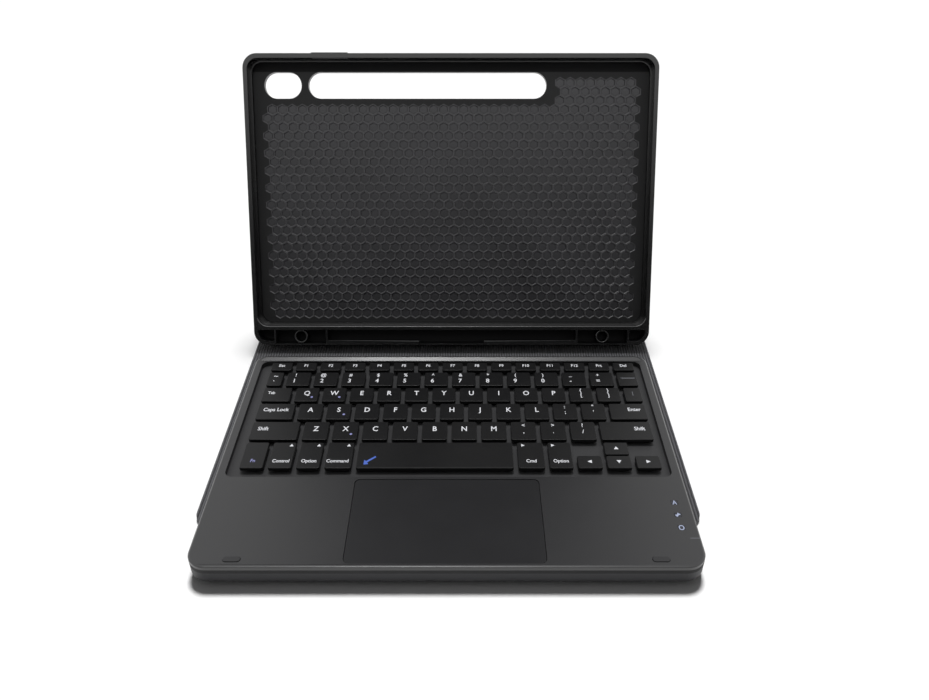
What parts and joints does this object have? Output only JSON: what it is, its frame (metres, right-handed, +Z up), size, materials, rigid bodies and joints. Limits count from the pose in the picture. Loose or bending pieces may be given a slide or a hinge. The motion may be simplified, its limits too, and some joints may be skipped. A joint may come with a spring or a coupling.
{
  "type": "tablet keyboard case",
  "caption": "Folding tablet case standing open: soft shell with a leaning tablet pocket, easel flap and base cover, and a detachable keyboard with touchpad.",
  "frame": {"origin": "centre of the base cover's underside, on the table", "axes": "+X to the typist's right, +Y from the typist towards the tablet, +Z up"},
  "size_m": [0.263, 0.2833, 0.1767],
  "materials": {
    "cover_skin": "fine grained synthetic leather, matte",
    "fibre_board": "compressed fibre board",
    "ribbed_lining": "ribbed woven lining",
    "magnet": "nickel plated",
    "soft_shell": "matte thermoplastic rubber",
    "soft_button": "matte thermoplastic rubber",
    "deck_plastic": "satin charcoal plastic",
    "housing_plastic": "fine textured plastic",
    "plate_plastic": "satin charcoal plastic",
    "membrane_film": "printed circuit film",
    "touchpad_surface": "smooth satin",
    "circuit_board": "solder mask",
    "sheet_steel": "zinc plated sheet",
    "battery_foil": "foil pouch",
    "switch_plastic": "satin plastic",
    "port_metal": "plated steel",
    "light_window": "clear light pipe",
    "soft_rubber": "soft rubber",
    "screw_steel": "zinc plated",
    "key_cap": "fine matte plastic"
  },
  "bodies": {
    "cover_base": {"cover_base_skin": "cover_skin", "cover_base_board": "fibre_board", "cover_base_lining": "ribbed_lining", "cover_base_magnets": "magnet"},
    "spine": {"spine_strip": "cover_skin", "spine_board": "fibre_board"},
    "flap": {"flap_skin": "cover_skin", "flap_board": "fibre_board"},
    "shell": {"back_panel_skin": "cover_skin", "back_panel_board": "fibre_board", "tablet_shell": "soft_shell", "trough_rings": "soft_shell", "shell_magnets": "magnet"},
    "shell_button": {"shell_button_cover": "soft_button"},
    "keyboard": {"keyboard_top_housing": "deck_plastic", "keyboard_bottom_housing": "housing_plastic", "key_support_plate": "plate_plastic", "key_membrane": "membrane_film", "touchpad_bracket": "sheet_steel", "battery_pack": "battery_foil", "controller_board": "circuit_board", "charging_port": "port_metal", "indicator_windows": "light_window", "deck_bumpers": "soft_rubber", "keyboard_feet": "soft_rubber", "housing_screws": "screw_steel", "keyboard_magnets": "magnet"},
    "touchpad": {"touchpad_plate": "touchpad_surface", "touchpad_board": "circuit_board"},
    "switch_knob": {"power_switch": "switch_plastic"},
    "key_space": {"key_space": "key_cap"},
    "key_escape": {"key_escape": "key_cap"},
    "function_keys_left": {"function_keys_left": "key_cap"},
    "function_keys_right": {"function_keys_right": "key_cap"},
    "key_accent": {"key_accent": "key_cap"},
    "number_keys_left": {"number_keys_left": "key_cap"},
    "number_keys_right": {"number_keys_right": "key_cap"},
    "key_backspace": {"key_backspace": "key_cap"},
    "key_tab": {"key_tab": "key_cap"},
    "upper_letters_left": {"upper_letters_left": "key_cap"},
    "upper_letters_right": {"upper_letters_right": "key_cap"},
    "key_backslash": {"key_backslash": "key_cap"},
    "key_caps": {"key_caps": "key_cap"},
    "home_letters_left": {"home_letters_left": "key_cap"},
    "home_letters_right": {"home_letters_right": "key_cap"},
    "key_enter": {"key_enter": "key_cap"},
    "key_shift_left": {"key_shift_left": "key_cap"},
    "lower_letters_left": {"lower_letters_left": "key_cap"},
    "lower_letters_right": {"lower_letters_right": "key_cap"},
    "key_shift_right": {"key_shift_right": "key_cap"},
    "key_fn": {"key_fn": "key_cap"},
    "key_control": {"key_control": "key_cap"},
    "key_option_left": {"key_option_left": "key_cap"},
    "key_command_left": {"key_command_left": "key_cap"},
    "key_command_right": {"key_command_right": "key_cap"},
    "key_option_right": {"key_option_right": "key_cap"},
    "key_arrow_left": {"key_arrow_left": "key_cap"},
    "key_arrow_up": {"key_arrow_up": "key_cap"},
    "key_arrow_down": {"key_arrow_down": "key_cap"},
    "key_arrow_right": {"key_arrow_right": "key_cap"}
  },
  "joints": [
    {"name": "back_fold", "type": "hinge", "parent": "flap", "child": "shell", "pos_m": [0, 0.09617, 0.05336], "axis": [1, 0, 0], "range_deg": [-70, 0]},
    {"name": "flap_crease", "type": "hinge", "parent": "spine", "child": "flap", "pos_m": [0, 0.121, 0.0013], "axis": [1, 0, 0], "range_deg": [-90, 0]},
    {"name": "spine_crease", "type": "hinge", "parent": "cover_base", "child": "spine", "pos_m": [0, 0.095, 0.0013], "axis": [1, 0, 0], "range_deg": [-90, 0]},
    {"name": "keyboard_lift", "type": "slide", "parent": "cover_base", "child": "keyboard", "axis": [0, 0, 1], "range_m": [0, 0.06]},
    {"name": "touchpad_click", "type": "hinge", "parent": "keyboard", "child": "touchpad", "pos_m": [0, -0.0732, 0.0128], "axis": [1, 0, 0], "range_deg": [0, 0.5], "stiffness_Nm_per_rad": 3, "springref_deg": -0.57},
    {"name": "power_slide", "type": "slide", "parent": "keyboard", "child": "switch_knob", "axis": [0, 1, 0], "range_m": [0, 0.0024]},
    {"name": "shell_button_press", "type": "slide", "parent": "shell", "child": "shell_button", "axis": [0, -0.4179, -0.9085], "range_m": [0, 0.0005], "stiffness_N_per_m": 1500, "springref_m": -0.0004},
    {"name": "key_space_press", "type": "slide", "parent": "keyboard", "child": "key_space", "axis": [0, 0, -1], "range_m": [0, 0.0014], "stiffness_N_per_m": 300, "springref_m": -0.0005},
    {"name": "key_escape_press", "type": "slide", "parent": "keyboard", "child": "key_escape", "axis": [0, 0, -1], "range_m": [0, 0.0014], "stiffness_N_per_m": 300, "springref_m": -0.0005},
    {"name": "function_keys_left_press", "type": "slide", "parent": "keyboard", "child": "function_keys_left", "axis": [0, 0, -1], "range_m": [0, 0.0014], "stiffness_N_per_m": 2100, "springref_m": -0.0005},
    {"name": "function_keys_right_press", "type": "slide", "parent": "keyboard", "child": "function_keys_right", "axis": [0, 0, -1], "range_m": [0, 0.0014], "stiffness_N_per_m": 2100, "springref_m": -0.0005},
    {"name": "key_accent_press", "type": "slide", "parent": "keyboard", "child": "key_accent", "axis": [0, 0, -1], "range_m": [0, 0.0014], "stiffness_N_per_m": 300, "springref_m": -0.0005},
    {"name": "number_keys_left_press", "type": "slide", "parent": "keyboard", "child": "number_keys_left", "axis": [0, 0, -1], "range_m": [0, 0.0014], "stiffness_N_per_m": 1800, "springref_m": -0.0005},
    {"name": "number_keys_right_press", "type": "slide", "parent": "keyboard", "child": "number_keys_right", "axis": [0, 0, -1], "range_m": [0, 0.0014], "stiffness_N_per_m": 1800, "springref_m": -0.0005},
    {"name": "key_backspace_press", "type": "slide", "parent": "keyboard", "child": "key_backspace", "axis": [0, 0, -1], "range_m": [0, 0.0014], "stiffness_N_per_m": 300, "springref_m": -0.0005},
    {"name": "key_tab_press", "type": "slide", "parent": "keyboard", "child": "key_tab", "axis": [0, 0, -1], "range_m": [0, 0.0014], "stiffness_N_per_m": 300, "springref_m": -0.0005},
    {"name": "upper_letters_left_press", "type": "slide", "parent": "keyboard", "child": "upper_letters_left", "axis": [0, 0, -1], "range_m": [0, 0.0014], "stiffness_N_per_m": 1800, "springref_m": -0.0005},
    {"name": "upper_letters_right_press", "type": "slide", "parent": "keyboard", "child": "upper_letters_right", "axis": [0, 0, -1], "range_m": [0, 0.0014], "stiffness_N_per_m": 1800, "springref_m": -0.0005},
    {"name": "key_backslash_press", "type": "slide", "parent": "keyboard", "child": "key_backslash", "axis": [0, 0, -1], "range_m": [0, 0.0014], "stiffness_N_per_m": 300, "springref_m": -0.0005},
    {"name": "key_caps_press", "type": "slide", "parent": "keyboard", "child": "key_caps", "axis": [0, 0, -1], "range_m": [0, 0.0014], "stiffness_N_per_m": 300, "springref_m": -0.0005},
    {"name": "home_letters_left_press", "type": "slide", "parent": "keyboard", "child": "home_letters_left", "axis": [0, 0, -1], "range_m": [0, 0.0014], "stiffness_N_per_m": 1800, "springref_m": -0.0005},
    {"name": "home_letters_right_press", "type": "slide", "parent": "keyboard", "child": "home_letters_right", "axis": [0, 0, -1], "range_m": [0, 0.0014], "stiffness_N_per_m": 1500, "springref_m": -0.0005},
    {"name": "key_enter_press", "type": "slide", "parent": "keyboard", "child": "key_enter", "axis": [0, 0, -1], "range_m": [0, 0.0014], "stiffness_N_per_m": 300, "springref_m": -0.0005},
    {"name": "key_shift_left_press", "type": "slide", "parent": "keyboard", "child": "key_shift_left", "axis": [0, 0, -1], "range_m": [0, 0.0014], "stiffness_N_per_m": 300, "springref_m": -0.0005},
    {"name": "lower_letters_left_press", "type": "slide", "parent": "keyboard", "child": "lower_letters_left", "axis": [0, 0, -1], "range_m": [0, 0.0014], "stiffness_N_per_m": 1500, "springref_m": -0.0005},
    {"name": "lower_letters_right_press", "type": "slide", "parent": "keyboard", "child": "lower_letters_right", "axis": [0, 0, -1], "range_m": [0, 0.0014], "stiffness_N_per_m": 1500, "springref_m": -0.0005},
    {"name": "key_shift_right_press", "type": "slide", "parent": "keyboard", "child": "key_shift_right", "axis": [0, 0, -1], "range_m": [0, 0.0014], "stiffness_N_per_m": 300, "springref_m": -0.0005},
    {"name": "key_fn_press", "type": "slide", "parent": "keyboard", "child": "key_fn", "axis": [0, 0, -1], "range_m": [0, 0.0014], "stiffness_N_per_m": 300, "springref_m": -0.0005},
    {"name": "key_control_press", "type": "slide", "parent": "keyboard", "child": "key_control", "axis": [0, 0, -1], "range_m": [0, 0.0014], "stiffness_N_per_m": 300, "springref_m": -0.0005},
    {"name": "key_option_left_press", "type": "slide", "parent": "keyboard", "child": "key_option_left", "axis": [0, 0, -1], "range_m": [0, 0.0014], "stiffness_N_per_m": 300, "springref_m": -0.0005},
    {"name": "key_command_left_press", "type": "slide", "parent": "keyboard", "child": "key_command_left", "axis": [0, 0, -1], "range_m": [0, 0.0014], "stiffness_N_per_m": 300, "springref_m": -0.0005},
    {"name": "key_command_right_press", "type": "slide", "parent": "keyboard", "child": "key_command_right", "axis": [0, 0, -1], "range_m": [0, 0.0014], "stiffness_N_per_m": 300, "springref_m": -0.0005},
    {"name": "key_option_right_press", "type": "slide", "parent": "keyboard", "child": "key_option_right", "axis": [0, 0, -1], "range_m": [0, 0.0014], "stiffness_N_per_m": 300, "springref_m": -0.0005},
    {"name": "key_arrow_left_press", "type": "slide", "parent": "keyboard", "child": "key_arrow_left", "axis": [0, 0, -1], "range_m": [0, 0.0014], "stiffness_N_per_m": 300, "springref_m": -0.0005},
    {"name": "key_arrow_up_press", "type": "slide", "parent": "keyboard", "child": "key_arrow_up", "axis": [0, 0, -1], "range_m": [0, 0.0014], "stiffness_N_per_m": 300, "springref_m": -0.0005},
    {"name": "key_arrow_down_press", "type": "slide", "parent": "keyboard", "child": "key_arrow_down", "axis": [0, 0, -1], "range_m": [0, 0.0014], "stiffness_N_per_m": 300, "springref_m": -0.0005},
    {"name": "key_arrow_right_press", "type": "slide", "parent": "keyboard", "child": "key_arrow_right", "axis": [0, 0, -1], "range_m": [0, 0.0014], "stiffness_N_per_m": 300, "springref_m": -0.0005}
  ]
}
